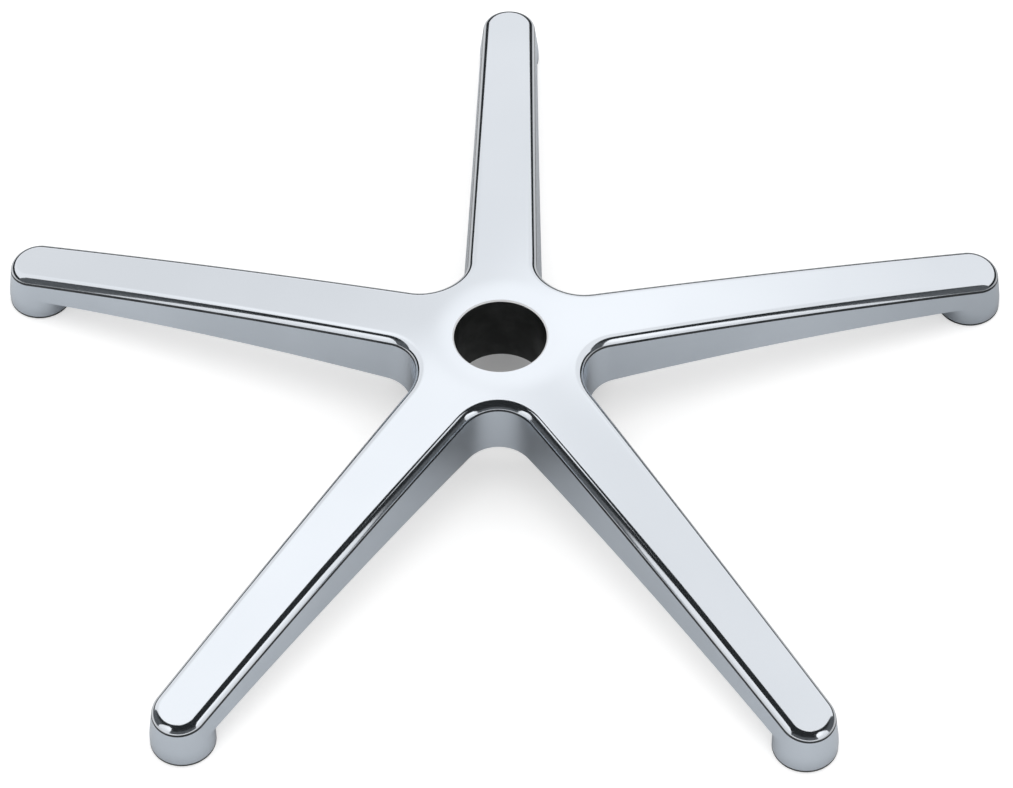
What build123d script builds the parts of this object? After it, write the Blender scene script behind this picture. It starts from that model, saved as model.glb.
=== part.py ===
from build123d import *
import math
import os

# Five-star base of a swivel chair, cast in one piece of aluminium and polished.
# Millimetres, +Z up. The origin is the centre of the gas-lift bore at the hub's lower rim.

# Star plan, measured at the level of the boss faces
leg_count = 5
boss_reach = 273.0          # bore axis to caster socket axis
root_half_width = 28.3      # half width of a leg's flank lines at the bore axis
tip_radius = 18.1           # round end of a leg
crotch_radius = 16.0        # fillet between neighbouring legs
draft_angle = 7.0           # flanks lean in towards the top

# Heights
bore_length = 44.0          # hub top to the hub's lower rim
boss_drop = 22.5            # hub's lower rim down to the boss faces
leg_drop = 40.2             # hub top down to the roof line at the end of a leg

# Roof
seat_radius = 27.0          # flat ring round the bore
shoulder_radius = 125.0     # arc that rolls the seat over into the legs
shoulder_slope = 7.2        # degrees, where the shoulder meets the long arc
edge_radius = 5.5           # polished edge between roof and flanks

# Skirt, the lower edge of the flanks
skirt_hub_height = 14.0     # at the bore axis, above the hub's lower rim
skirt_mid_height = 6.5      # halfway out
skirt_tip_height = -10.6    # at the end of a leg

# Hub tube
bore_radius = 25.0
rim_chamfer = 0.8
tube_wall = 6.5

# Caster bosses
boss_radius = 17.2          # straight foot of a boss
foot_blend_radius = 40.0    # rolls the straight foot into the drafted round end
foot_chamfer = 0.8
socket_radius = 5.5
socket_depth = 22.0
socket_chamfer = 0.6

# Cored underside
flank_wall = 4.0
roof_wall = 4.5
rib_thickness = 3.0
rib_recess = 5.0            # rib edges sit at least this far above the skirt
cross_ribs = 3
boss_wall = 10.0            # metal left round a socket inside the leg
rib_margin = 24.0           # tube or boss to the nearest cross rib

leg_step = 360 / leg_count
hub_top = bore_length
foot_z = -boss_drop
tube_radius = bore_radius + tube_wall
draft = math.tan(math.radians(draft_angle))
leg_reach = boss_reach + tip_radius
tool_reach = leg_reach + tip_radius
tool_depth = 2 * (bore_length + boss_drop)
tool_height = 1.15 * (bore_length + boss_drop)
seam_turn = 90 - leg_step / 2   # seams of the turned tools lie in a crotch


def around(shape):
    """Copies of one leg's shape at every leg."""
    return [Rot(0, 0, leg_step * i) * shape for i in range(leg_count)]


def leg_plan(inset):
    """Plan of one leg along +Y: straight flanks tangent to its round end."""
    root = root_half_width - inset
    tip = tip_radius - inset
    lean = math.asin((root - tip) / boss_reach)
    start = (root * math.cos(lean), root * math.sin(lean))
    shoulder = (tip * math.cos(lean), boss_reach + tip * math.sin(lean))
    flank = Line(start, shoulder)
    end = ThreePointArc(shoulder, (0, boss_reach + tip), (-shoulder[0], shoulder[1]))
    other_flank = Line((-shoulder[0], shoulder[1]), (-start[0], start[1]))
    return make_face([flank, end, other_flank, Line((-start[0], start[1]), start)])


def star_plan(inset):
    """Outline of the star at the boss faces, moved inwards by inset."""
    star = Circle(root_half_width - inset) + around(leg_plan(inset))
    crotches = star.vertices().sort_by_distance((0, 0, 0))[:leg_count]
    return fillet(crotches, crotch_radius + inset)


def drafted_star(inset):
    """Star with leaning flanks, from the boss faces to a little above the roof."""
    plan = Pos(0, 0, foot_z) * star_plan(inset)
    return extrude(plan, amount=tool_height, dir=(0, 0, 1), taper=draft_angle)


def turned(profile):
    """Solid of revolution of everything under a half profile."""
    start = profile[0] @ 0
    end = profile[-1] @ 1
    closing = Polyline(end, (end.X, 0, -tool_depth), (0, 0, -tool_depth), start)
    face = make_face(profile + list(closing.edges()))
    return Rot(0, 0, seam_turn) * revolve(face, Axis.Z)


def under_roof(drop):
    """Everything under the roof, lowered by drop: flat seat, shoulder arc, long arc."""
    slope = math.radians(shoulder_slope)
    top = hub_top - drop
    seat_end = Vector(seat_radius, 0, top)
    run = shoulder_radius * math.sin(slope)
    fall = shoulder_radius * (1 - math.cos(slope))
    shoulder_end = Vector(seat_radius + run, 0, top - fall)
    leg_end = Vector(leg_reach, 0, top - leg_drop)
    seat = Line((0, 0, top), seat_end)
    shoulder = TangentArc(seat_end, shoulder_end, tangent=(1, 0, 0))
    long_arc = TangentArc(shoulder_end, leg_end, tangent=shoulder % 1)
    run_out = Line(leg_end, leg_end + (long_arc % 1) * (tool_reach - leg_reach))
    return turned([seat, shoulder, long_arc, run_out])


def under_skirt(lift):
    """Everything under the skirt's lower edge, raised by lift."""
    arc = ThreePointArc(
        (0, 0, skirt_hub_height + lift),
        (leg_reach / 2, 0, skirt_mid_height + lift),
        (leg_reach, 0, skirt_tip_height + lift),
    )
    run_out = Line(arc @ 1, (arc @ 1) + (arc % 1) * (tool_reach - leg_reach))
    return turned([arc, run_out])


def polished_star():
    """Drafted star under its roof, with the rolled edge all round."""
    star = drafted_star(0)
    roof = under_roof(0)
    body = star & roof
    return fillet(new_edges(star, roof, combined=body), edge_radius)


def boss():
    """Turned boss: straight foot, blended into the same cone as the leg's round end."""
    crease = (tip_radius - boss_radius) / draft
    buried = boss_drop + skirt_tip_height + flank_wall
    half = Polyline(
        (0, 0),
        (boss_radius, 0),
        (boss_radius, crease),
        (tip_radius - buried * draft, buried),
        (0, buried),
        close=True,
    )
    face = make_face(half)
    foot_corner = face.vertices().sort_by_distance((boss_radius, 0))[0]
    face = chamfer(foot_corner, foot_chamfer)
    crease_corner = face.vertices().sort_by_distance((boss_radius, crease))[0]
    face = fillet(crease_corner, foot_blend_radius)
    return Pos(0, boss_reach, foot_z) * Rot(0, 0, -90) * revolve(Plane.XZ * face, Axis.Z)


def hub_tube():
    """Tube round the bore, from the hub's lower rim up into the roof."""
    return extrude(Circle(tube_radius), amount=hub_top - roof_wall / 2)


def rib_edge(y):
    """Height of the ribs' lower edges at a distance from the bore axis."""
    slope = (skirt_hub_height - skirt_tip_height) / leg_reach
    return skirt_mid_height + rib_recess - slope * (y - leg_reach / 2)


def cross_rib(y):
    height = hub_top - rib_edge(y)
    box = Box(2 * root_half_width, rib_thickness, height, align=(Align.CENTER, Align.CENTER, Align.MIN))
    return Pos(0, y, rib_edge(y)) * box


def leg_ribs():
    """One rib along each leg and a few across it, set back from the skirt."""
    start = tube_radius - tube_wall / 2
    side = Polyline(
        (start, rib_edge(start)),
        (boss_reach, rib_edge(boss_reach)),
        (boss_reach, hub_top),
        (start, hub_top),
        close=True,
    )
    along = extrude(Plane.YZ * make_face(side), amount=rib_thickness / 2, both=True)
    first = tube_radius + rib_margin
    last = boss_reach - socket_radius - boss_wall - rib_margin
    pitch = (last - first) / (cross_ribs - 1)
    return along + [cross_rib(first + pitch * i) for i in range(cross_ribs)]


def core():
    """Hollow of the underside: the star inset by its walls, less tube, bosses and ribs."""
    hollow = drafted_star(flank_wall) & under_roof(roof_wall)
    hollow -= Pos(0, 0, foot_z) * extrude(Circle(tube_radius), amount=tool_depth)
    kept = Pos(0, boss_reach, foot_z) * extrude(Circle(socket_radius + boss_wall), amount=tool_depth)
    hollow -= around(kept)
    hollow -= around(leg_ribs())
    return hollow


def bore_tool():
    """Bore with a broken upper rim."""
    rim = hub_top - rim_chamfer
    half = Polyline(
        (0, 0),
        (bore_radius, 0),
        (bore_radius, rim),
        (bore_radius + rim_chamfer, hub_top),
        (0, hub_top),
        close=True,
    )
    return revolve(Plane.XZ * make_face(half), Axis.Z)


def socket_tool():
    """Blind socket for a caster stem, broken at its mouth."""
    half = Polyline(
        (0, 0),
        (socket_radius + socket_chamfer, 0),
        (socket_radius, socket_chamfer),
        (socket_radius, socket_depth),
        (0, socket_depth),
        close=True,
    )
    return Pos(0, boss_reach, foot_z) * revolve(Plane.XZ * make_face(half), Axis.Z)


def star_base():
    body = polished_star() - under_skirt(0)
    body = body + around(boss())
    body = body - core()
    body = body + hub_tube()
    body = body - bore_tool()
    return body - around(socket_tool())


os.makedirs("parts", exist_ok=True)
base = star_base()
base.label = "star_base"
export_step(base, "parts/star_base.step")
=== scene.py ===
import math

import bmesh
import bpy
from mathutils import Matrix, Vector


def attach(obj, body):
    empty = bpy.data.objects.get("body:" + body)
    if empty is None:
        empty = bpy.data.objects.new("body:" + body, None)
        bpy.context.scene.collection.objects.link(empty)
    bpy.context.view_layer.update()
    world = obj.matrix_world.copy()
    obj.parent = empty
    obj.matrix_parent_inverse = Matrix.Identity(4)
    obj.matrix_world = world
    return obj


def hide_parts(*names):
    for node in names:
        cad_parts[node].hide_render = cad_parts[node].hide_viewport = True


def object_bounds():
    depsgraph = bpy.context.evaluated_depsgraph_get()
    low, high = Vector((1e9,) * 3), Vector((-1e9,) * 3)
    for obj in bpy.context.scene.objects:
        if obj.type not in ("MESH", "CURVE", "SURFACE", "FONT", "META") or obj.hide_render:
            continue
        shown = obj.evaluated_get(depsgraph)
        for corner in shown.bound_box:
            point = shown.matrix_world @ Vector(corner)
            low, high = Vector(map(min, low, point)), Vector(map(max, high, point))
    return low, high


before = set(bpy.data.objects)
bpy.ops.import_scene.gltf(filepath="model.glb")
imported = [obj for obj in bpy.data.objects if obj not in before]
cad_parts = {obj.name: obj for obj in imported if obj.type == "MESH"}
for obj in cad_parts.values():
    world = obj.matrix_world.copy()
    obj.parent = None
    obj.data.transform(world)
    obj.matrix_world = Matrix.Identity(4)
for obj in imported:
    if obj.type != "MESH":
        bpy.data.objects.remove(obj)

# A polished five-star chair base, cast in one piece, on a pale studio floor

scene = bpy.context.scene
scene.view_settings.view_transform = "Standard"
cadBox = [list(map(float, corner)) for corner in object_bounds()]
footHeight = cadBox[0][2]
mm = 0.001
legCount = 5
legStep = 2 * math.pi / legCount
print("stage 1: packed base loaded")


# Shader maths as expressions

class Wire:                                     # one socket of a material, used in sums
    def __init__(self, tree, socket=None):
        self.tree = tree
        self.socket = socket

    def node(self, kind, settings=None, inputs=None, output=0):
        made = self.tree.nodes.new(kind)
        for name, value in (settings or {}).items():
            setattr(made, name, value)
        for name, value in (inputs or {}).items():
            if isinstance(value, Wire):
                self.tree.links.new(value.socket, made.inputs[name])
            else:
                made.inputs[name].default_value = value
        return Wire(self.tree, made.outputs[output])

    def maths(self, operation, *others):
        return self.node("ShaderNodeMath", {"operation": operation}, dict(enumerate((self,) + others)))

    def __add__(self, other):
        return self.maths("ADD", other)

    def __sub__(self, other):
        return self.maths("SUBTRACT", other)

    def __rsub__(self, other):
        return self.node("ShaderNodeMath", {"operation": "SUBTRACT"}, {0: other, 1: self})

    def __mul__(self, other):
        return self.maths("MULTIPLY", other)

    __radd__ = __add__
    __rmul__ = __mul__

    def ramp(self, low, high):                  # 0 below low, 1 above high, smooth between
        return self.node("ShaderNodeMapRange", {"interpolation_type": "SMOOTHSTEP"},
                         {"Value": self, "From Min": low, "From Max": high})

    def part(self, axis):
        return self.node("ShaderNodeSeparateXYZ", None, {0: self}, axis)

    def mixed(self, first, second):             # self is the share of the second colour
        return self.node("ShaderNodeMix", {"data_type": "RGBA"}, {0: self, 6: first, 7: second}, 2)

    def noise(self, scale, detail=2.0, roughness=0.5):
        return self.node("ShaderNodeTexNoise", None,
                         {"Vector": self, "Scale": scale, "Detail": detail, "Roughness": roughness})


def newMaterial(name):
    material = bpy.data.materials.new(name)
    material.use_nodes = True
    material.node_tree.nodes.clear()
    return material, Wire(material.node_tree)


def output(wire, surface, kind="ShaderNodeOutputMaterial"):
    made = wire.tree.nodes.new(kind)
    wire.tree.links.new(surface.socket, made.inputs["Surface"])


# Finishes of the casting: noise scales are per metre, depths in metres

def objectPlace(wire):
    return wire.node("ShaderNodeTexCoord", output="Object")


def legPlace(place):                            # along, across and above one leg, the five folded into one
    x = place.part("X")
    y = place.part("Y")
    turn = x.maths("ARCTAN2", y)
    turn = turn - (turn * (1 / legStep)).maths("ROUND") * legStep
    reach = (x * x + y * y).maths("SQRT")
    return reach * turn.maths("COSINE"), reach * turn.maths("SINE"), place.part("Z")


def metal(wire, colour, rough, height, metallic=1.0):
    bump = wire.node("ShaderNodeBump", None, {"Height": height, "Distance": 1.0, "Strength": 1.0})
    output(wire, wire.node("ShaderNodeBsdfPrincipled", None, {
        "Base Color": colour, "Metallic": metallic, "Roughness": rough, "Normal": bump}))


polish = {
    "colour": (0.879, 0.914, 0.958, 1),
    "shade": (0.852, 0.888, 0.932, 1),
    "patchScale": 9.0,
    "patchEdge": (0.35, 0.65),
    "markAlong": 40.0,
    "markAcross": 1400.0,
    "roughness": 0.09,
    "patchRoughness": 0.012,
    "markRoughness": 0.05,
    "markDepth": 0.0000012,
}


def polishedMetal():                            # mirror finish, with faint marks of the polishing mop
    material, wire = newMaterial("polished_aluminium")
    place = objectPlace(wire)
    along, across, above = legPlace(place)
    patches = place.noise(polish["patchScale"], 3.0).ramp(*polish["patchEdge"])
    streaks = wire.node("ShaderNodeCombineXYZ", None, {
        0: along * polish["markAlong"], 1: across * polish["markAcross"], 2: above * polish["markAcross"]})
    marks = streaks.noise(1.0, 4.0, 0.6) - 0.5
    rough = polish["roughness"] + patches * polish["patchRoughness"] + marks * polish["markRoughness"]
    metal(wire, patches.mixed(polish["colour"], polish["shade"]), rough, marks * polish["markDepth"])
    return material


satin = {
    "colour": (0.760, 0.828, 0.909, 1),
    "shade": (0.700, 0.765, 0.842, 1),
    "patchScale": 14.0,
    "patchEdge": (0.3, 0.7),
    "grainAlong": 900.0,
    "grainAbove": 60.0,
    "gritScale": 1800.0,
    "roughness": 0.22,
    "patchRoughness": 0.03,
    "grainRoughness": 0.10,
    "grainDepth": 0.000004,
    "gritDepth": 0.000002,
}


def satinMetal():                               # ground flanks, duller, with fine grain down the wall
    material, wire = newMaterial("satin_aluminium")
    place = objectPlace(wire)
    along, across, above = legPlace(place)
    patches = place.noise(satin["patchScale"], 3.0).ramp(*satin["patchEdge"])
    lines = wire.node("ShaderNodeCombineXYZ", None, {
        0: along * satin["grainAlong"], 1: across * satin["grainAlong"], 2: above * satin["grainAbove"]})
    grain = lines.noise(1.0, 4.0, 0.6) - 0.5
    grit = place.noise(satin["gritScale"], 2.0) - 0.5
    rough = satin["roughness"] + patches * satin["patchRoughness"] + grain * satin["grainRoughness"]
    height = grain * satin["grainDepth"] + grit * satin["gritDepth"]
    metal(wire, patches.mixed(satin["colour"], satin["shade"]), rough, height)
    return material


cast = {
    "colour": (0.330, 0.338, 0.350, 1),
    "shade": (0.240, 0.246, 0.256, 1),
    "pitScale": 260.0,
    "pitEdge": (0.35, 0.65),
    "gritScale": 1100.0,
    "roughness": 0.58,
    "gritRoughness": 0.2,
    "pitDepth": 0.00025,
    "gritDepth": 0.00004,
}


def castMetal():                                # as cast, inside and underneath
    material, wire = newMaterial("cast_aluminium")
    place = objectPlace(wire)
    pits = place.noise(cast["pitScale"], 5.0, 0.6)
    grit = place.noise(cast["gritScale"], 3.0, 0.6) - 0.5
    colour = pits.ramp(*cast["pitEdge"]).mixed(cast["colour"], cast["shade"])
    rough = cast["roughness"] + grit * cast["gritRoughness"]
    metal(wire, colour, rough, pits * cast["pitDepth"] + grit * cast["gritDepth"])
    return material


bored = {
    "colour": (0.095, 0.099, 0.098, 1),
    "shade": (0.055, 0.058, 0.057, 1),
    "patchScale": 60.0,
    "patchEdge": (0.3, 0.7),
    "ringScale": 9000.0,
    "roughness": 0.40,
    "patchRoughness": 0.08,
    "ringDepth": 0.000004,
}


def boreMetal():                                # bore and sockets, dark, with turning rings
    material, wire = newMaterial("bored_aluminium")
    place = objectPlace(wire)
    rings = (place.part("Z") * bored["ringScale"]).maths("SINE")
    patches = place.noise(bored["patchScale"], 3.0).ramp(*bored["patchEdge"])
    rough = bored["roughness"] + patches * bored["patchRoughness"]
    metal(wire, patches.mixed(bored["colour"], bored["shade"]), rough, rings * bored["ringDepth"])
    return material


rim = {
    "colour": (0.93, 0.94, 0.95, 1),
    "metallic": 0.35,
    "gritScale": 1500.0,
    "roughness": 0.55,
    "gritRoughness": 0.1,
    "gritDepth": 0.000002,
}


def rimMetal():                                 # turned rim of the bore, bright and even
    material, wire = newMaterial("turned_rim")
    grit = objectPlace(wire).noise(rim["gritScale"], 2.0) - 0.5
    rough = rim["roughness"] + grit * rim["gritRoughness"]
    metal(wire, rim["colour"], rough, grit * rim["gritDepth"], rim["metallic"])
    return material


# painted reflection: colours of a dark strip that stands in for the dark surroundings reflected low on the
# rolled edge
paintedShadeLine = {
    "colour": (0.085, 0.090, 0.096, 1),
    "shade": (0.050, 0.054, 0.058, 1),
    "patchScale": 120.0,
    "patchEdge": (0.3, 0.7),
    "roughness": 0.25,
    "patchRoughness": 0.06,
    "patchDepth": 0.000004,
}


def paintedLineMetal():                                # painted reflection: a fine dark line at the foot of the rolled edge, above the flanks, standing in for the dark surroundings the edge would reflect
    material, wire = newMaterial("painted_shade_line")
    patches = objectPlace(wire).noise(paintedShadeLine["patchScale"], 3.0).ramp(*paintedShadeLine["patchEdge"])
    colour = patches.mixed(paintedShadeLine["colour"], paintedShadeLine["shade"])
    rough = paintedShadeLine["roughness"] + patches * paintedShadeLine["patchRoughness"]
    metal(wire, colour, rough, patches * paintedShadeLine["patchDepth"])
    return material


finishMaterials = {
    "polished": polishedMetal(),
    "satin": satinMetal(),
    "cast": castMetal(),
    "bore": boreMetal(),
    "rim": rimMetal(),
    # the line finish is the painted dark reflection at the foot of the rolled edge
    "line": paintedLineMetal(),
}
print("stage 2: finishes mixed")


# The base as one casting, drawn from its plan in millimetres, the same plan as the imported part

base = {
    "bossReach": 273.0,                         # bore axis to socket axis
    "rootHalfWidth": 28.3,
    "tipRadius": 18.1,
    "crotchRadius": 16.0,
    "draft": math.tan(math.radians(7.0)),
    "foot": -22.5,                              # height of the boss faces
    "hubTop": 44.0,
    "legDrop": 40.2,
    "seatRadius": 27.0,
    "shoulderRadius": 125.0,
    "shoulderSlope": math.radians(7.2),
    "edgeRadius": 5.5,
    "skirtHub": 14.0,                           # the flanks' lower edge: at the hub, halfway, at the tip
    "skirtMiddle": 6.5,
    "skirtTip": -10.6,
    "flankWall": 4.0,
    "roofWall": 4.5,
    "boreRadius": 25.0,
    "rimChamfer": 0.8,
    "tubeWall": 6.5,
    "hollowEnd": 262.0,                         # where the hollow of a leg stops
    "bossRadius": 17.2,
    "footBlend": 40.0,
    "footChamfer": 0.8,
    "socketRadius": 5.5,
    "socketDepth": 22.0,
    "socketChamfer": 0.6,
    "bossShoulder": -6.6,                       # above this a boss is out of sight, in the leg
    "tuckBelow": 1.5,
    "tuck": 0.05,
    "deepTuck": 0.075,
    "keptRadius": 15.5,
    "buriedEnd": 264.0,
    "buriedHalf": 12.0,
    "paintedFootShadow": 2.0,                            # height of the painted contact shadow at the foot of a boss
    "ribThickness": 3.0,
    "ribRecess": 5.0,
    "ribMargin": 24.0,
    "crossRibs": 3,
    "ribCuts": 8,
    "blendSteps": 4,
    "bossSteps": 72,
    "tipSteps": 18,
    "flankSteps": 44,
    "crotchSteps": 10,
    "edgeSteps": 16,
    "paintedLineSteps": 3,                             # how many of those carry the painted dark reflection line
    "flankRings": 4,
    "flankHold": 0.975,                         # rings that keep flank and roof flat up to the rolled edge
    "roofHold": 0.5,
    "hubRings": 12,
    "sharpAngle": math.radians(16),
    "weld": 1e-4,
    "seamWeld": 0.015,
    "nearly": 1e-3,
    "slack": 0.1,
    "solveTries": 12,
    "normalTries": 3,
}
finishIndex = {name: place for place, name in enumerate(finishMaterials)}
legReach = base["bossReach"] + base["tipRadius"]
tubeRadius = base["boreRadius"] + base["tubeWall"]
lean = math.asin((base["rootHalfWidth"] - base["tipRadius"]) / base["bossReach"])
flankOut = Vector((math.cos(lean), math.sin(lean)))          # across the leg, along the leg
tipCentre = Vector((0, base["bossReach"]))
crotchReach = (base["rootHalfWidth"] + base["crotchRadius"]) / math.sin(legStep / 2 + lean)
crotchCentre = crotchReach * Vector((math.sin(legStep / 2), math.cos(legStep / 2)))
flankStart = crotchCentre - base["crotchRadius"] * flankOut
flankEnd = tipCentre + base["tipRadius"] * flankOut


def arcThrough(first, middle, last):            # centre and radius of the circle through three points
    ax, ay = middle - first
    bx, by = last - first
    twice = 2 * (ax * by - ay * bx)
    ux = (by * (ax * ax + ay * ay) - ay * (bx * bx + by * by)) / twice
    uy = (ax * (bx * bx + by * by) - bx * (ax * ax + ay * ay)) / twice
    return first + Vector((ux, uy)), math.hypot(ux, uy)


skirtCentre, skirtRadius = arcThrough(
    Vector((0, base["skirtHub"])),
    Vector((legReach / 2, base["skirtMiddle"])),
    Vector((legReach, base["skirtTip"])))
shoulderReach = base["seatRadius"] + base["shoulderRadius"] * math.sin(base["shoulderSlope"])
shoulderHeight = base["hubTop"] - base["shoulderRadius"] * (1 - math.cos(base["shoulderSlope"]))
inward = Vector((-math.sin(base["shoulderSlope"]), -math.cos(base["shoulderSlope"])))
run = Vector((legReach - shoulderReach, base["hubTop"] - base["legDrop"] - shoulderHeight))
longRadius = run.length_squared / (2 * run.dot(inward))
longCentre = Vector((shoulderReach, shoulderHeight)) + longRadius * inward


def roofHeight(reach):
    if reach < base["seatRadius"]:
        return base["hubTop"]
    if reach < shoulderReach:
        away = reach - base["seatRadius"]
        return base["hubTop"] - base["shoulderRadius"] + math.sqrt(base["shoulderRadius"] ** 2 - away ** 2)
    return longCentre.y + math.sqrt(longRadius ** 2 - (reach - longCentre.x) ** 2)


def roofSlope(reach):
    if reach < base["seatRadius"]:
        return 0.0
    if reach < shoulderReach:
        away = reach - base["seatRadius"]
        return -away / math.sqrt(base["shoulderRadius"] ** 2 - away ** 2)
    away = reach - longCentre.x
    return -away / math.sqrt(longRadius ** 2 - away ** 2)


def ceilingHeight(reach):                       # of the hollow under the roof
    return roofHeight(reach) - base["roofWall"]


def skirtHeight(reach):
    return skirtCentre.y + math.sqrt(skirtRadius ** 2 - (reach - skirtCentre.x) ** 2)


def turned(flat, leg):                          # from across and along a leg to the shared frame
    across, along = flat
    sine = math.sin(leg * legStep)
    cosine = math.cos(leg * legStep)
    return Vector((along * sine + across * cosine, along * cosine - across * sine))


def folded(place):                              # across and along the nearest leg, and its number
    leg = round(math.atan2(place.x, place.y) / legStep)
    return turned(place.xy, -leg), leg


def vertsOf(items):
    return [item for item in items if isinstance(item, bmesh.types.BMVert)]


def starOutline(mesh):                          # half a leg by two spins, mirrored, then all five legs
    tip = mesh.verts.new((0, legReach, 0))
    spun = bmesh.ops.spin(mesh, geom=[tip], cent=(0, base["bossReach"], 0), axis=(0, 0, 1),
                          angle=lean - math.pi / 2, steps=base["tipSteps"])
    shoulder = spun["geom_last"][0]
    start = mesh.verts.new((flankStart.x, flankStart.y, 0))
    flank = mesh.edges.new((shoulder, start))
    bmesh.ops.spin(mesh, geom=[start], cent=(crotchCentre.x, crotchCentre.y, 0), axis=(0, 0, 1),
                   angle=math.pi / 2 - legStep / 2 - lean, steps=base["crotchSteps"])
    bmesh.ops.subdivide_edges(mesh, edges=[flank], cuts=base["flankSteps"] - 1)
    half = mesh.verts[:] + mesh.edges[:]
    other = bmesh.ops.duplicate(mesh, geom=half)["geom"]
    bmesh.ops.scale(mesh, vec=(-1, 1, 1), verts=vertsOf(other))
    bmesh.ops.remove_doubles(mesh, verts=mesh.verts, dist=base["weld"])
    leg = mesh.verts[:] + mesh.edges[:]
    for turn in range(1, legCount):
        copy = bmesh.ops.duplicate(mesh, geom=leg)["geom"]
        matrix = Matrix.Rotation(turn * legStep, 3, "Z")
        bmesh.ops.rotate(mesh, cent=(0, 0, 0), matrix=matrix, verts=vertsOf(copy))
    bmesh.ops.remove_doubles(mesh, verts=mesh.verts, dist=base["weld"])
    mesh.verts.ensure_lookup_table()
    ring = [mesh.verts[0]]
    step = ring[0].link_edges[0]
    while True:
        following = step.other_vert(ring[-1])
        if following is ring[0]:
            return ring
        ring.append(following)
        step = next(edge for edge in following.link_edges if edge is not step)


class Station:                                  # one point of the outline, with all that hangs on it
    def __init__(self, vert):
        self.plan = vert.co.xy.copy()
        flat, self.leg = folded(self.plan)
        side = -1 if flat.x < 0 else 1
        self.side = 0 if abs(flat.x) < base["weld"] else side
        half = Vector((abs(flat.x), flat.y))
        self.onTip = half.y > flankEnd.y - base["nearly"]
        self.inCrotch = half.y < flankStart.y + base["nearly"] and not self.onTip
        self.along = half.y
        if self.onTip:
            out = (half - tipCentre) / base["tipRadius"]
        elif self.inCrotch:
            out = (crotchCentre - half) / base["crotchRadius"]
        else:
            out = flankOut
        self.share = (half.y - flankStart.y) / (flankEnd.y - flankStart.y)
        self.tipShare = (math.atan2(half.y - tipCentre.y, half.x) - lean) / (math.pi / 2 - lean)
        self.out = turned(Vector((out.x * side, out.y)), self.leg)
        self.solveEdge()

    def outer(self, height):                    # on the leaning flank
        return self.plan - self.out * (height - base["foot"]) * base["draft"]

    def solveEdge(self):                        # ball that rolls between flank and roof
        radius = base["edgeRadius"]
        up = 1 / math.sqrt(1 + base["draft"] ** 2)
        height = 0.0
        for attempt in range(base["solveTries"]):
            inset = radius / up + (height - base["foot"]) * base["draft"]
            spot = self.plan - self.out * inset
            slope = roofSlope(spot.length)
            height = roofHeight(spot.length) - radius * math.sqrt(1 + slope ** 2)
        self.centre = Vector((spot.x, spot.y, height))
        self.flankNormal = Vector((self.out.x * up, self.out.y * up, base["draft"] * up))
        for attempt in range(base["normalTries"]):
            ray = spot / spot.length
            self.roofNormal = Vector((-slope * ray.x, -slope * ray.y, 1)).normalized()
            touch = self.centre + radius * self.roofNormal
            slope = roofSlope(touch.xy.length)

    def edgePoint(self, share):
        return self.centre + base["edgeRadius"] * self.flankNormal.slerp(self.roofNormal, share)

    def roofPoint(self, inset):                 # on the roof, a little in from the rolled edge
        spot = self.edgePoint(1).xy - self.out * inset
        return Vector((spot.x, spot.y, roofHeight(spot.length)))

    def skirtPoint(self):
        height = 0.0
        for attempt in range(base["solveTries"]):
            height = skirtHeight(self.outer(height).length)
        spot = self.outer(height)
        return Vector((spot.x, spot.y, height))

    def innerPlan(self, height):                # on the wall of the hollow
        inset = base["flankWall"] + (height - base["foot"]) * base["draft"]
        if self.inCrotch:
            return self.plan - self.out * inset
        start = flankStart - flankOut * inset
        alongLine = Vector((-flankOut.y, flankOut.x))
        end = start + alongLine * ((base["hollowEnd"] - start.y) / alongLine.y)
        spot = start.lerp(end, min(self.share, 1.0))
        if self.onTip:
            spot = Vector((end.x * (1 - self.tipShare), end.y))
        return turned(Vector((spot.x * (self.side or 1), spot.y)), self.leg)

    def innerPoint(self, heightOf):
        height = 0.0
        for attempt in range(base["solveTries"]):
            spot = self.innerPlan(height)
            height = heightOf(spot.length)
        return Vector((spot.x, spot.y, height))


def nextRing(mesh, ring, places, finish):       # extrudes a closed ring and moves it to its new places
    edges = [mesh.edges.get(pair) for pair in zip(ring, ring[1:] + ring[:1])]
    made = bmesh.ops.extrude_edge_only(mesh, edges=edges)["geom"]
    return placed(made, ring, places, finish)


def placed(made, old, places, finish):          # moves what was extruded, in the order of the old points
    fresh = {vert.co.to_tuple(5): vert for vert in vertsOf(made)}
    for item in made:
        if isinstance(item, bmesh.types.BMFace):
            item.material_index = finishIndex[finish]
    moved = [fresh[vert.co.to_tuple(5)] for vert in old]
    for vert, place in zip(moved, places):
        vert.co = place
    return moved


def legSide(stations, ring, leg, side, withTip):  # one long side of a leg, from the crotch outwards
    chosen = []
    for station, vert in zip(stations, ring):
        besideLeg = station.leg % legCount == leg and station.side in (side, 0)
        pastCrotch = not station.inCrotch or station.along > flankStart.y - base["nearly"]
        beforeTip = not station.onTip or station.tipShare < base["nearly"]
        if besideLeg and pastCrotch and (withTip or beforeTip):
            chosen.append((station.along, vert))
    return [vert for along, vert in sorted(chosen, key=lambda pair: pair[0])]


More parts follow.
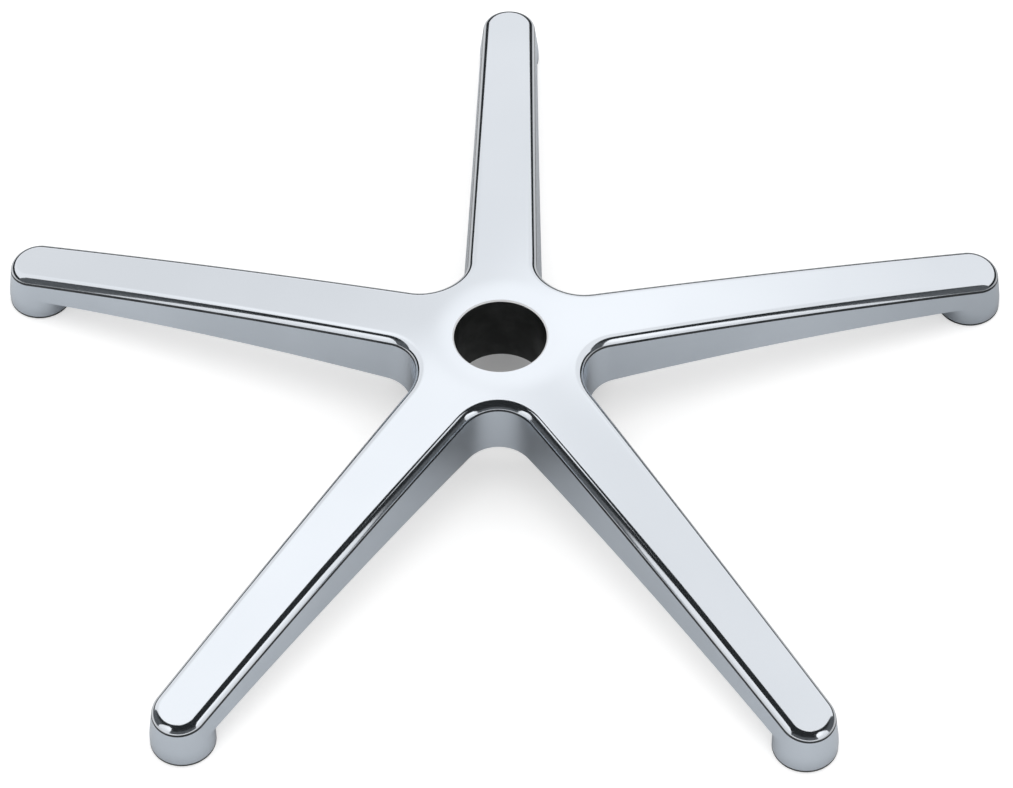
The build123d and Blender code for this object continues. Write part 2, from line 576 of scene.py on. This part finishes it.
def legSheets(mesh, stations, ring, heightOf, finish, withTip):
    crossLines = {}                             # strips across each leg, and the line at each leg's root
    strips = 2 * base["tipSteps"]
    for leg in range(legCount):
        left = legSide(stations, ring, leg, -1, withTip)
        right = legSide(stations, ring, leg, 1, withTip)
        starts = [vert.co.copy() for vert in left]
        ends = [vert.co.copy() for vert in right]
        line = [left[0]]
        chain = left
        merged = {}
        for strip in range(1, strips + 1):
            edges = [mesh.edges.get(pair) for pair in zip(chain, chain[1:])]
            made = bmesh.ops.extrude_edge_only(mesh, edges=edges)["geom"]
            places = []
            for start, end in zip(starts, ends):
                spot = start.lerp(end, strip / strips)
                places.append(Vector((spot.x, spot.y, heightOf(spot.xy.length))))
            chain = placed(made, chain, places, finish)
            line.append(chain[0])
            if withTip:
                merged[chain[-1]] = left[-1]
        merged.update(zip(chain, right))
        bmesh.ops.weld_verts(mesh, targetmap=merged)
        line[-1] = right[0]
        crossLines[leg] = line
    return crossLines


def hubSheet(mesh, stations, ring, crossLines, innerRadius, heightOf, finish):
    arcs = {}                                   # rings from the crotches and legs in to a round hole
    for station, vert in zip(stations, ring):
        if station.inCrotch:
            gap = round((math.atan2(vert.co.x, vert.co.y) / legStep) - 0.5) % legCount
            arcs.setdefault(gap, []).append(vert)
    edges = [edge for arc in arcs.values() for vert in arc for edge in vert.link_edges
             if edge.other_vert(vert) in arc and len(edge.link_faces) == 1]
    for line in crossLines.values():
        edges.extend(mesh.edges.get(pair) for pair in zip(line, line[1:]))
    edges = list(dict.fromkeys(edges))          # each once, in the same order every run
    old = list(dict.fromkeys(vert for edge in edges for vert in edge.verts))
    outer = [vert.co.xy.length for vert in old]
    rays = [vert.co.xy / vert.co.xy.length for vert in old]
    rings = base["hubRings"]
    for step in range(1, rings + 1):
        made = bmesh.ops.extrude_edge_only(mesh, edges=edges)["geom"]
        places = []
        for reach, ray in zip(outer, rays):
            now = reach + (innerRadius - reach) * step / rings
            places.append(Vector((ray.x * now, ray.y * now, heightOf(now))))
        fresh = placed(made, old, places, finish)
        lookup = dict(zip(old, fresh))
        edges = [mesh.edges.get((lookup[edge.verts[0]], lookup[edge.verts[1]])) for edge in edges]
        old = fresh
    return sorted(old, key=lambda vert: math.atan2(vert.co.y, vert.co.x))


def circlePlaces(ring, radius, height):
    places = []
    for vert in ring:
        ray = vert.co.xy / vert.co.xy.length
        places.append(Vector((ray.x * radius, ray.y * radius, height)))
    return places


def castingShell(mesh):
    outline = starOutline(mesh)
    stations = [Station(vert) for vert in outline]
    bottoms = [station.skirtPoint() for station in stations]
    for vert, bottom in zip(outline, bottoms):
        vert.co = bottom
    ring = outline
    tops = [station.edgePoint(0) for station in stations]
    shares = [step / base["flankRings"] for step in range(1, base["flankRings"])]
    for share in shares + [base["flankHold"], 1.0]:
        ring = nextRing(mesh, ring, [low.lerp(high, share) for low, high in zip(bottoms, tops)], "satin")
    for step in range(1, base["edgeSteps"] + 1):
        places = [station.edgePoint(step / base["edgeSteps"]) for station in stations]
        # the lowest steps of the rolled edge carry the painted dark reflection line
        ring = nextRing(mesh, ring, places, "line" if step <= base["paintedLineSteps"] else "polished")
    ring = nextRing(mesh, ring, [station.roofPoint(base["roofHold"]) for station in stations], "polished")
    lines = legSheets(mesh, stations, ring, roofHeight, "polished", True)
    mouthRadius = base["boreRadius"] + base["rimChamfer"]
    mouth = hubSheet(mesh, stations, ring, lines, mouthRadius, roofHeight, "polished")

    lip = nextRing(mesh, outline, [station.innerPoint(skirtHeight) for station in stations], "satin")
    top = nextRing(mesh, lip, [station.innerPoint(ceilingHeight) for station in stations], "cast")
    lines = legSheets(mesh, stations, top, ceilingHeight, "cast", False)
    tube = hubSheet(mesh, stations, top, lines, tubeRadius, ceilingHeight, "cast")

    chamferEnd = base["hubTop"] - base["rimChamfer"]
    bore = nextRing(mesh, mouth, circlePlaces(mouth, base["boreRadius"], chamferEnd), "rim")
    bore = nextRing(mesh, bore, circlePlaces(bore, base["boreRadius"], 0.0), "bore")
    tube = nextRing(mesh, tube, circlePlaces(tube, tubeRadius, 0.0), "cast")
    rims = [mesh.edges.get(pair) for ends in (bore, tube) for pair in zip(ends, ends[1:] + ends[:1])]
    for face in bmesh.ops.bridge_loops(mesh, edges=rims)["faces"]:
        face.material_index = finishIndex["cast"]
    bmesh.ops.remove_doubles(mesh, verts=mesh.verts, dist=base["seamWeld"])
    bmesh.ops.dissolve_degenerate(mesh, edges=mesh.edges, dist=base["weld"])


def bossProfile():                              # half section of a boss: reach from its axis, and height
    foot = base["foot"]
    crease = (base["tipRadius"] - base["bossRadius"]) / base["draft"]
    bend = math.atan(base["draft"])
    tangent = base["footBlend"] * math.tan(bend / 2)
    points = [
        (0, foot + base["socketDepth"]),
        (base["socketRadius"], foot + base["socketDepth"]),
        (base["socketRadius"], foot + base["socketChamfer"]),
        (base["socketRadius"] + base["socketChamfer"], foot),
        (base["bossRadius"] - base["footChamfer"], foot),
        (base["bossRadius"], foot + base["footChamfer"]),
        (base["bossRadius"], foot + base["paintedFootShadow"]),
    ]
    for step in range(base["blendSteps"] + 1):
        angle = bend * step / base["blendSteps"]
        points.append((base["bossRadius"] - base["footBlend"] * (1 - math.cos(angle)),
                       foot + crease - tangent + base["footBlend"] * math.sin(angle)))
    eased = (                                   # from just under the leg's end the boss draws inside it
        (base["skirtTip"] - base["tuckBelow"], 0.0),
        (base["skirtTip"], base["tuck"]),
        (base["bossShoulder"], base["deepTuck"]),
    )
    for height, tuck in eased:
        points.append((base["tipRadius"] - (height - foot) * base["draft"] - tuck, height))
    points.append((base["keptRadius"], base["bossShoulder"]))
    points.append((base["keptRadius"], 0.0))
    points.append((0, 0.0))
    return points


def bossFinish(reach, height):
    if reach < base["socketRadius"] + base["slack"] and height > base["foot"] + base["slack"]:
        return "bore"
    # painted contact shadow: the lowest band of a boss wall gets the dark bore finish
    if height < base["foot"] + base["paintedFootShadow"] and reach > base["bossRadius"] - base["footChamfer"]:
        return "bore"
    return "satin" if height < base["bossShoulder"] - base["slack"] else "cast"


def joinIsland(mesh, island):                   # a closed body of its own, kept in the same mesh
    bmesh.ops.recalc_face_normals(island, faces=island.faces)
    carried = bpy.data.meshes.new("island")
    island.to_mesh(carried)
    island.free()
    mesh.from_mesh(carried)
    bpy.data.meshes.remove(carried)


def addBoss(mesh, leg):
    island = bmesh.new()
    centre = turned(tipCentre, leg)
    away = centre / centre.length
    profile = [island.verts.new((centre.x + away.x * reach, centre.y + away.y * reach, height))
               for reach, height in bossProfile()]
    edges = [island.edges.new(pair) for pair in zip(profile, profile[1:])]
    bmesh.ops.spin(island, geom=profile + edges, cent=(centre.x, centre.y, 0), axis=(0, 0, 1),
                   angle=2 * math.pi, steps=base["bossSteps"], use_merge=True)
    bmesh.ops.remove_doubles(island, verts=island.verts, dist=base["weld"])
    for face in island.faces:
        middle = face.calc_center_median()
        face.material_index = finishIndex[bossFinish((middle.xy - centre).length, middle.z)]
    for vert in island.verts:
        flat = turned(vert.co.xy, -leg)
        narrow = (vert.co.xy - centre).length < base["keptRadius"] + base["slack"]
        onTop = narrow and vert.co.z > base["bossShoulder"] - base["slack"]
        if onTop and flat.y > base["buriedEnd"]:  # cut straight where it would reach the rolled edge
            half = base["buriedHalf"]
            vert.co.xy = turned(Vector((max(-half, min(half, flat.x)), base["buriedEnd"])), leg)
        if vert.co.z == 0.0:                     # the buried top follows the roof, half a wall below it
            vert.co.z = roofHeight(vert.co.xy.length) - base["roofWall"] / 2
    joinIsland(mesh, island)


def ribEdge(along):
    slope = (base["skirtHub"] - base["skirtTip"]) / legReach
    return base["skirtMiddle"] + base["ribRecess"] - slope * (along - legReach / 2)


def wallMiddle(along, height):                  # across the leg to the middle of its flank's wall
    inset = base["flankWall"] / 2 + (height - base["foot"]) * base["draft"]
    return (base["rootHalfWidth"] - inset - along * math.sin(lean)) / math.cos(lean)


def addRib(mesh, leg, start, end, across):      # a plate from the ribs' lower edge up into the roof
    island = bmesh.new()
    bmesh.ops.create_cube(island, size=1.0)
    long = [edge for edge in island.edges if abs(edge.verts[0].co.y - edge.verts[1].co.y) > 0.5]
    bmesh.ops.subdivide_edges(island, edges=long, cuts=base["ribCuts"], use_grid_fill=True)
    for vert in island.verts:
        along = start + (end - start) * (vert.co.y + 0.5)
        height = ribEdge(along) if vert.co.z < 0 else roofHeight(along) - base["roofWall"] / 2
        half = wallMiddle(along, height) if across else base["ribThickness"] / 2
        spot = turned(Vector((math.copysign(half, vert.co.x), along)), leg)
        vert.co = Vector((spot.x, spot.y, height))
    for face in island.faces:
        face.material_index = finishIndex["cast"]
    joinIsland(mesh, island)


def addRibs(mesh, leg):
    addRib(mesh, leg, tubeRadius - base["tubeWall"] / 2, base["hollowEnd"], False)
    first = tubeRadius + base["ribMargin"]
    last = base["bossReach"] - base["keptRadius"] - base["ribMargin"]
    for place in range(base["crossRibs"]):
        middle = first + (last - first) * place / (base["crossRibs"] - 1)
        addRib(mesh, leg, middle - base["ribThickness"] / 2, middle + base["ribThickness"] / 2, True)


def addCasting():
    mesh = bmesh.new()
    castingShell(mesh)
    bmesh.ops.recalc_face_normals(mesh, faces=mesh.faces)
    for leg in range(legCount):
        addBoss(mesh, leg)
        addRibs(mesh, leg)
    for face in mesh.faces:
        face.smooth = True
    for edge in mesh.edges:
        if len(edge.link_faces) == 2 and edge.calc_face_angle() > base["sharpAngle"]:
            edge.smooth = False
    bmesh.ops.scale(mesh, vec=(mm, mm, mm), verts=mesh.verts)
    data = bpy.data.meshes.new("star_casting")
    mesh.to_mesh(data)
    mesh.free()
    piece = bpy.data.objects.new("star_casting", data)
    scene.collection.objects.link(piece)
    for material in finishMaterials.values():
        data.materials.append(material)
    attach(piece, "root")
    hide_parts("star_base")


addCasting()
print("stage 3: casting drawn")


# Studio: pale floor, white surround, and what only the metal reflects: a soft dome and dark cards

studio = {
    "floorSize": 6.0,
    "floorDrop": 0.0001,
    "floorColour": (0.80, 0.80, 0.80, 1),
    "floorLift": 0.50,
    # painted shade on the floor under the hub: its centre, its reach, and the share of lift it keeps
    "shadeCentre": 0.038,
    "shadeReach": (0.018, 0.07),
    "shadeLift": 0.14,
    "surroundLevel": 0.75,
    "lampPower": 9.0,
    "lampSize": 2.0,
    "lampHeight": 1.8,
    "domeRadius": 2.2,
    "domeSegments": 48,
    "domeLevel": 0.86,
    "domeTop": 1.5,
    "domeColour": (0.975, 0.985, 1.0),
    "glows": (                                  # direction, cosine at which it starts, gain in its middle
        ((0.14, 0.68, 0.72), 0.95, 0.19),
        ((-0.25, 0.33, 0.91), 0.90, 0.17),
        ((-0.42, 0.70, 0.58), 0.93, -0.07),
        ((-0.42, -0.62, 0.66), 0.90, 0.20),
        ((0.42, -0.62, 0.66), 0.86, 0.28),
    ),
    # painted shade of the reflected table: grey near the base, lighter at the edge, darker on the right
    "tableShade": 0.56,
    "tableEdge": 0.68,
    "tableRight": 0.50,
    "tableFront": (0.92, 0.93, 0.95, 1),
    "tableRise": (0.08, 0.34),
    "tableRightFrom": (0.15, 0.30),
    "tableBehindFrom": (-0.45, -0.15),
    "tableReach": 0.36,
    "tableLift": 0.0002,
    "ringInner": 0.55,
    "ringOuter": 1.3,
    "ringTop": 0.26,
    "ringSteps": 64,
    "cardColour": (0.026, 0.029, 0.031, 1),
    "cardFoot": (0.11, 0.117, 0.124, 1),
    "cardRise": (0.25, 0.65),
    "frontLeft": -0.74,
    "frontWidth": 1.51,
    "frontLine": ((-1.0, -0.02), (-1.0, 0.55), (-0.8, 0.95), (-0.4, 1.12), (-0.06, 1.16)),
    "topLeft": -0.28,
    "topWidth": 0.56,
    "topLine": ((-0.06, 1.16), (0.28, 1.14)),
    "sideFront": -0.34,
    "sideWidth": 0.34,
    "sideLine": ((0.62, -0.02), (0.62, 0.62), (0.42, 0.92)),
}


def grey(level):
    return level, level, level, 1


def matt(wire, colour, glow=grey(0)):
    output(wire, wire.node("ShaderNodeBsdfPrincipled", None, {
        "Base Color": colour, "Roughness": 1.0, "Specular IOR Level": 0.0,
        "Emission Color": glow, "Emission Strength": 1.0}))


def staged(name, made, paint, mirroredOnly=True):
    mesh = bpy.data.meshes.new(name)
    made.to_mesh(mesh)
    made.free()
    piece = bpy.data.objects.new(name, mesh)
    scene.collection.objects.link(piece)
    mesh.materials.append(paint)
    if mirroredOnly:
        piece.visible_camera = False
        piece.visible_diffuse = False
        piece.visible_shadow = False
        piece.visible_transmission = False
        piece.visible_volume_scatter = False


def seenRays(wire):                             # camera, mirror and see-through rays
    camera = wire.node("ShaderNodeLightPath", output="Is Camera Ray")
    glossy = wire.node("ShaderNodeLightPath", output="Is Glossy Ray")
    through = wire.node("ShaderNodeLightPath", output="Is Transmission Ray")
    return camera.maths("MAXIMUM", glossy).maths("MAXIMUM", through)


def floorMaterial():
    material, wire = newMaterial("pale_floor")
    place = objectPlace(wire)
    x = place.part("X")
    y = place.part("Y") - studio["shadeCentre"]
    away = (x * x + y * y).maths("SQRT")        # from the spot seen through the bore
    # painted shade: the emitted lift fades near that spot, so the floor under the hub is darker than its
    # real shadow alone makes it
    share = away.ramp(*studio["shadeReach"]) * (1 - studio["shadeLift"]) + studio["shadeLift"]
    lift = seenRays(wire) * share * studio["floorLift"]
    matt(wire, studio["floorColour"], lift.mixed(grey(0), grey(1)))
    return material


def floorPiece():
    made = bmesh.new()
    bmesh.ops.create_grid(made, x_segments=1, y_segments=1, size=studio["floorSize"] / 2)
    bmesh.ops.translate(made, verts=made.verts, vec=(0, 0, footHeight - studio["floorDrop"]))
    staged("studio_floor", made, floorMaterial(), False)


def surround():
    world = bpy.data.worlds.new("studio")
    scene.world = world
    world.use_nodes = True
    world.node_tree.nodes.clear()
    wire = Wire(world.node_tree)
    colour = seenRays(wire).mixed(grey(studio["surroundLevel"]), grey(1))
    output(wire, wire.node("ShaderNodeBackground", None, {"Color": colour}), "ShaderNodeOutputWorld")


def lampPiece():
    data = bpy.data.lights.new("soft_lamp", "AREA")
    data.energy = studio["lampPower"]
    data.size = studio["lampSize"]
    lamp = bpy.data.objects.new("soft_lamp", data)
    lamp.location = (0, 0, studio["lampHeight"])
    lamp.visible_glossy = False
    scene.collection.objects.link(lamp)


def domePiece():
    material, wire = newMaterial("soft_dome")
    aim = wire.node("ShaderNodeVectorMath", {"operation": "NORMALIZE"}, {0: objectPlace(wire)})
    level = studio["domeLevel"]
    for centre, reach, gain in studio["glows"]:
        near = wire.node("ShaderNodeVectorMath", {"operation": "DOT_PRODUCT"}, {0: aim, 1: centre}, 1)
        level = near.ramp(reach, 1.0) * gain + level
    top = studio["domeTop"]                     # brighter than any glow, so that the share stays under 1
    brightest = [part * top for part in studio["domeColour"]] + [1]
    colour = (level * (1 / top)).mixed(grey(0), brightest)
    output(wire, wire.node("ShaderNodeEmission", None, {"Color": colour}))
    made = bmesh.new()
    around = studio["domeSegments"]
    bmesh.ops.create_uvsphere(made, u_segments=around, v_segments=around // 2, radius=studio["domeRadius"])
    staged("soft_dome", made, material)


def tableMaterial():                            # seen only in the metal; painted shade, grey near the base and darker on the right; light in front, dark behind
    material, wire = newMaterial("table_card")
    place = objectPlace(wire)
    x = place.part("X")
    y = place.part("Y")
    away = (x * x + y * y).maths("SQRT")
    near = away.ramp(*studio["tableRise"]).mixed(grey(studio["tableShade"]), grey(studio["tableEdge"]))
    near = x.ramp(*studio["tableRightFrom"]).mixed(near, grey(studio["tableRight"]))
    fade = away.ramp(studio["tableReach"], studio["ringInner"])
    behind = y.ramp(*studio["tableBehindFrom"])
    matt(wire, (fade * behind).mixed(fade.mixed(near, studio["tableFront"]), studio["cardColour"]))
    return material


def tablePiece():                               # round table card with a low wall at its edge
    made = bmesh.new()
    low = footHeight + studio["tableLift"]
    outer = studio["ringOuter"]
    verts = [made.verts.new(spot) for spot in ((0, 0, low), (outer, 0, low), (outer, 0, studio["ringTop"]))]
    edges = [made.edges.new(pair) for pair in zip(verts, verts[1:])]
    bmesh.ops.spin(made, geom=verts + edges, cent=(0, 0, 0), axis=(0, 0, 1),
                   angle=2 * math.pi, steps=studio["ringSteps"], use_merge=True)
    bmesh.ops.remove_doubles(made, verts=made.verts, dist=1e-6)
    staged("table_card", made, tableMaterial())


def cardMaterial():
    material, wire = newMaterial("dark_card")
    rise = objectPlace(wire).part("Z").ramp(*studio["cardRise"])
    matt(wire, rise.mixed(studio["cardFoot"], studio["cardColour"]))
    return material


def card(name, line, drawn, paint):             # a card bent along a line and drawn out along a vector
    made = bmesh.new()
    verts = [made.verts.new(point) for point in line]
    edges = [made.edges.new(pair) for pair in zip(verts, verts[1:])]
    fresh = bmesh.ops.extrude_edge_only(made, edges=edges)["geom"]
    bmesh.ops.translate(made, verts=vertsOf(fresh), vec=drawn)
    staged(name, made, paint)


def cards():
    paint = cardMaterial()
    front = [(studio["frontLeft"], y, z) for y, z in studio["frontLine"]]
    card("front_card", front, (studio["frontWidth"], 0, 0), paint)
    top = [(studio["topLeft"], y, z) for y, z in studio["topLine"]]
    card("top_card", top, (studio["topWidth"], 0, 0), paint)
    for name, side in (("left_card", -1), ("right_card", 1)):
        line = [(side * x, studio["sideFront"], z) for x, z in studio["sideLine"]]
        card(name, line, (0, studio["sideWidth"], 0), paint)


floorPiece()
surround()
lampPiece()
domePiece()
cards()
tablePiece()
print("stage 4: studio built")


# Camera at the photograph's angle

view = {
    "azimuth": 0.02691,
    "elevation": 0.87320,
    "roll": 0.01227,
    "distance": 2.42585,
    "target": (0, 0, -0.0225),
    "lens": 157.19,
    "sensor": 36.0,
    "shiftX": 0.00517,
    "shiftY": 0.02087,
    "nearest": 0.05,
}


def cameraPiece():
    turn = view["azimuth"]
    rise = view["elevation"]
    back = Vector((math.sin(turn) * math.cos(rise), -math.cos(turn) * math.cos(rise), math.sin(rise)))
    right = Vector((math.cos(turn), math.sin(turn), 0))
    rolled = Matrix.Rotation(view["roll"], 3, -back)
    up = rolled @ back.cross(right)
    right = rolled @ right
    data = bpy.data.cameras.new("camera")
    data.lens = view["lens"]
    data.sensor_width = view["sensor"]
    data.shift_x = view["shiftX"]
    data.shift_y = view["shiftY"]
    data.clip_start = view["nearest"]
    camera = bpy.data.objects.new("camera", data)
    scene.collection.objects.link(camera)
    facing = Matrix((right, up, back)).transposed().to_4x4()
    camera.matrix_world = Matrix.Translation(Vector(view["target"]) + back * view["distance"]) @ facing
    scene.camera = camera


cameraPiece()
print("stage 5: camera placed")
